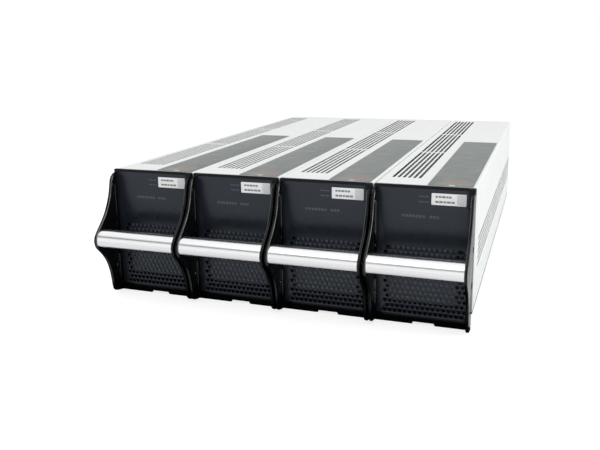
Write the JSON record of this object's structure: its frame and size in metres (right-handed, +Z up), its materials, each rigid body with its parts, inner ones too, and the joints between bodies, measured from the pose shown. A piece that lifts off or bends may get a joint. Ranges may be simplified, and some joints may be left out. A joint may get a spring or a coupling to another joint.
{
  "type": "server rack battery",
  "caption": "Row of hot-swap rack battery units: white steel boxes with vent slots, black moulded front bezels with curved cheeks and aluminium grab bars.",
  "frame": {"origin": "centre of the row in X and Y, at the bottom edge of the front bezels", "axes": "+Z up; -Y is the front with the grab bars, +Y the rear with the power connectors; +X to the right seen from the front"},
  "size_m": [0.435, 0.69, 0.155],
  "materials": {
    "white_steel": "satin powder coat, near white",
    "base_steel": "zinc-plated sheet",
    "bezel_black": "satin-gloss moulded plastic, blue-black",
    "bar_aluminium": "satin anodised",
    "screw_steel": "plated screw",
    "top_plate": "grey-green printed film",
    "sticker": "white paper label",
    "block_case": "moulded block case",
    "pad_foam": "closed-cell foam",
    "wire_sleeve": "insulated lead",
    "connector_body": "moulded connector",
    "fuse_ceramic": "ceramic barrel"
  },
  "bodies": {
    "unit_1": {"outer_cover_1": "white_steel", "base_pan_1": "base_steel", "front_bezel_1": "bezel_black", "front_baffle_1": "pad_foam", "handle_bar_1": "bar_aluminium", "handle_screw_left_1": "screw_steel", "handle_screw_right_1": "screw_steel", "top_label_1": "top_plate", "front_sticker_1": "sticker", "lower_block_row_1": "block_case", "upper_block_row_1": "block_case", "divider_pad_1": "pad_foam", "wiring_harness_1": "wire_sleeve", "rear_connector_1": "connector_body", "string_fuse_1": "fuse_ceramic"},
    "unit_2": {"outer_cover_2": "white_steel", "base_pan_2": "base_steel", "front_bezel_2": "bezel_black", "front_baffle_2": "pad_foam", "handle_bar_2": "bar_aluminium", "handle_screw_left_2": "screw_steel", "handle_screw_right_2": "screw_steel", "top_label_2": "top_plate", "front_sticker_2": "sticker", "lower_block_row_2": "block_case", "upper_block_row_2": "block_case", "divider_pad_2": "pad_foam", "wiring_harness_2": "wire_sleeve", "rear_connector_2": "connector_body", "string_fuse_2": "fuse_ceramic"},
    "unit_3": {"outer_cover_3": "white_steel", "base_pan_3": "base_steel", "front_bezel_3": "bezel_black", "front_baffle_3": "pad_foam", "handle_bar_3": "bar_aluminium", "handle_screw_left_3": "screw_steel", "handle_screw_right_3": "screw_steel", "top_label_3": "top_plate", "front_sticker_3": "sticker", "lower_block_row_3": "block_case", "upper_block_row_3": "block_case", "divider_pad_3": "pad_foam", "wiring_harness_3": "wire_sleeve", "rear_connector_3": "connector_body", "string_fuse_3": "fuse_ceramic"},
    "unit_4": {"outer_cover_4": "white_steel", "base_pan_4": "base_steel", "front_bezel_4": "bezel_black", "front_baffle_4": "pad_foam", "handle_bar_4": "bar_aluminium", "handle_screw_left_4": "screw_steel", "handle_screw_right_4": "screw_steel", "top_label_4": "top_plate", "front_sticker_4": "sticker", "lower_block_row_4": "block_case", "upper_block_row_4": "block_case", "divider_pad_4": "pad_foam", "wiring_harness_4": "wire_sleeve", "rear_connector_4": "connector_body", "string_fuse_4": "fuse_ceramic"}
  },
  "joints": [
    {"name": "unit_2_slide", "type": "slide", "parent": "unit_1", "child": "unit_2", "axis": [0, -1, 0], "range_m": [0, 0.7]},
    {"name": "unit_3_slide", "type": "slide", "parent": "unit_1", "child": "unit_3", "axis": [0, -1, 0], "range_m": [0, 0.7]},
    {"name": "unit_4_slide", "type": "slide", "parent": "unit_1", "child": "unit_4", "axis": [0, -1, 0], "range_m": [0, 0.7]}
  ]
}
